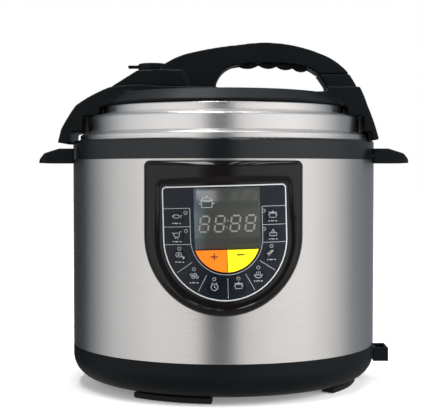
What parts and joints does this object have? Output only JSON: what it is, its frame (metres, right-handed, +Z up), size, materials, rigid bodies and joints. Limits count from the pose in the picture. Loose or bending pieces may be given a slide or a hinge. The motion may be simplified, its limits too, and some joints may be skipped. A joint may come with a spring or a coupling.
{
  "type": "electric pressure cooker",
  "caption": "Countertop electric pressure cooker with a steel body, stepped steel lid under a black strap cover with carrying handle, and a curved control panel with keys.",
  "frame": {"origin": "on the body axis, in the plane the feet stand on", "axes": "+Z up along the body axis, -Y out of the control panel, +X to the right as seen from the front"},
  "size_m": [0.3448, 0.3085, 0.3181],
  "materials": {
    "black_plastic": "satin moulded plastic with a fine grain",
    "black_rubber": "matte",
    "brushed_steel_shell": "vertical soft reflections, fine circumferential brushing",
    "cast_aluminium": "cast, fine bead-blasted",
    "circuit_board": "solder mask",
    "clear_cup": "clear moulded plastic",
    "display_core": "potted seven segment module",
    "display_tint": "smoked display window",
    "gloss_black": "high gloss",
    "inner_steel": "plain stainless steel",
    "key_film": "embossed film",
    "lamp_lens": "unlit lamp lens",
    "orange_key": "printed film",
    "overlay_film": "semi gloss printed film",
    "pin_metal": "nickel plated brass",
    "polished_lid_steel": "satin polished stamped stainless steel",
    "screw_steel": "zinc plated",
    "sheet_metal": "rolled sheet",
    "silicone": "translucent white silicone",
    "switch_body": "satin",
    "yellow_key": "printed film"
  },
  "bodies": {
    "root": {"base_shell": "black_plastic", "bottom_cover": "black_plastic", "bottom_cover_screws": "screw_steel", "control_board": "circuit_board", "cup_bracket": "black_plastic", "display_module": "display_core", "display_window": "display_tint", "elastic_pressure_plate": "inner_steel", "heating_plate": "cast_aluminium", "indicator_lamps": "lamp_lens", "inlet_pins": "pin_metal", "inner_pot": "inner_steel", "insulation_sleeve": "sheet_metal", "outer_housing": "brushed_steel_shell", "panel_bezel": "gloss_black", "panel_overlay": "overlay_film", "power_board": "circuit_board", "power_inlet": "black_plastic", "pressure_jacket": "cast_aluminium", "pressure_switch": "black_plastic", "rubber_feet": "black_rubber", "sensor_bracket": "sheet_metal", "sensor_spring": "inner_steel", "side_handle_left": "black_plastic", "side_handle_right": "black_plastic", "side_handle_screws": "screw_steel", "spoon_holder": "black_plastic", "tact_switches": "switch_body", "thermal_fuse": "inner_steel", "upper_ring": "black_plastic"},
    "lid_seal": {"sealing_gasket": "silicone"},
    "lid": {"steel_lid": "polished_lid_steel", "inner_lid_plate": "inner_steel", "inner_lid_grommet": "silicone", "gasket_wire_ring": "inner_steel", "vent_pipe": "inner_steel", "vent_nut": "inner_steel", "anti_block_cap": "inner_steel", "float_seal": "silicone", "lid_cover": "black_plastic", "handle_arch": "black_plastic", "handle_grip": "black_rubber", "handle_fixing_screws": "screw_steel"},
    "steam_valve": {"steam_valve_knob": "black_plastic"},
    "float_valve": {"float_pin": "inner_steel"},
    "lid_lock": {"lock_slider": "black_plastic"},
    "pot_sensor": {"temperature_sensor": "cast_aluminium"},
    "drip_cup": {"condensation_cup": "clear_cup"},
    "key_bottom_left_button": {"key_bottom_left": "key_film"},
    "key_bottom_right_button": {"key_bottom_right": "key_film"},
    "key_left_1_button": {"key_left_1": "key_film"},
    "key_left_2_button": {"key_left_2": "key_film"},
    "key_left_3_button": {"key_left_3": "key_film"},
    "key_low_left_button": {"key_low_left": "key_film"},
    "key_low_right_button": {"key_low_right": "key_film"},
    "key_minus_button": {"key_minus": "yellow_key"},
    "key_plus_button": {"key_plus": "orange_key"},
    "key_right_1_button": {"key_right_1": "key_film"},
    "key_right_2_button": {"key_right_2": "key_film"},
    "key_right_3_button": {"key_right_3": "key_film"}
  },
  "joints": [
    {"name": "lid_lift", "type": "slide", "parent": "root", "child": "lid_seal", "axis": [0, 0, 1], "range_m": [0, 0.16]},
    {"name": "lid_turn", "type": "hinge", "parent": "lid_seal", "child": "lid", "pos_m": [0, 0, 0.226], "axis": [0, 0, 1], "range_deg": [0, 22]},
    {"name": "steam_valve_turn", "type": "hinge", "parent": "lid", "child": "steam_valve", "pos_m": [-0.068, 0.012, 0.297], "axis": [0, 0, 1], "range_deg": [0, 60]},
    {"name": "float_rise", "type": "slide", "parent": "lid", "child": "float_valve", "axis": [0, 0, 1], "range_m": [0, 0.004]},
    {"name": "lock_slide", "type": "slide", "parent": "lid", "child": "lid_lock", "axis": [-1, 0, 0], "range_m": [0, 0.003], "stiffness_N_per_m": 60},
    {"name": "sensor_plunge", "type": "slide", "parent": "root", "child": "pot_sensor", "axis": [0, 0, 1], "range_m": [-0.002, 0], "stiffness_N_per_m": 800, "deforming": ["sensor_spring"]},
    {"name": "cup_lift", "type": "slide", "parent": "root", "child": "drip_cup", "axis": [0, 0, 1], "range_m": [0, 0.06]},
    {"name": "key_bottom_left_press", "type": "slide", "parent": "root", "child": "key_bottom_left_button", "axis": [0.0481, 0.9988, 0], "range_m": [0, 0.0004], "stiffness_N_per_m": 900},
    {"name": "key_bottom_right_press", "type": "slide", "parent": "root", "child": "key_bottom_right_button", "axis": [-0.0842, 0.9964, 0], "range_m": [0, 0.0004], "stiffness_N_per_m": 900},
    {"name": "key_left_1_press", "type": "slide", "parent": "root", "child": "key_left_1_button", "axis": [0.2568, 0.9665, 0], "range_m": [0, 0.0004], "stiffness_N_per_m": 900},
    {"name": "key_left_2_press", "type": "slide", "parent": "root", "child": "key_left_2_button", "axis": [0.254, 0.9672, 0], "range_m": [0, 0.0004], "stiffness_N_per_m": 900},
    {"name": "key_left_3_press", "type": "slide", "parent": "root", "child": "key_left_3_button", "axis": [0.2389, 0.971, 0], "range_m": [0, 0.0004], "stiffness_N_per_m": 900},
    {"name": "key_low_left_press", "type": "slide", "parent": "root", "child": "key_low_left_button", "axis": [0.1593, 0.9872, 0], "range_m": [0, 0.0004], "stiffness_N_per_m": 900},
    {"name": "key_low_right_press", "type": "slide", "parent": "root", "child": "key_low_right_button", "axis": [-0.1923, 0.9813, 0], "range_m": [0, 0.0004], "stiffness_N_per_m": 900},
    {"name": "key_minus_press", "type": "slide", "parent": "root", "child": "key_minus_button", "axis": [-0.0881, 0.9961, 0], "range_m": [0, 0.0004], "stiffness_N_per_m": 900},
    {"name": "key_plus_press", "type": "slide", "parent": "root", "child": "key_plus_button", "axis": [0.0446, 0.999, 0], "range_m": [0, 0.0004], "stiffness_N_per_m": 900},
    {"name": "key_right_1_press", "type": "slide", "parent": "root", "child": "key_right_1_button", "axis": [-0.2716, 0.9624, 0], "range_m": [0, 0.0004], "stiffness_N_per_m": 900},
    {"name": "key_right_2_press", "type": "slide", "parent": "root", "child": "key_right_2_button", "axis": [-0.2743, 0.9616, 0], "range_m": [0, 0.0004], "stiffness_N_per_m": 900},
    {"name": "key_right_3_press", "type": "slide", "parent": "root", "child": "key_right_3_button", "axis": [-0.2655, 0.9641, 0], "range_m": [0, 0.0004], "stiffness_N_per_m": 900}
  ]
}
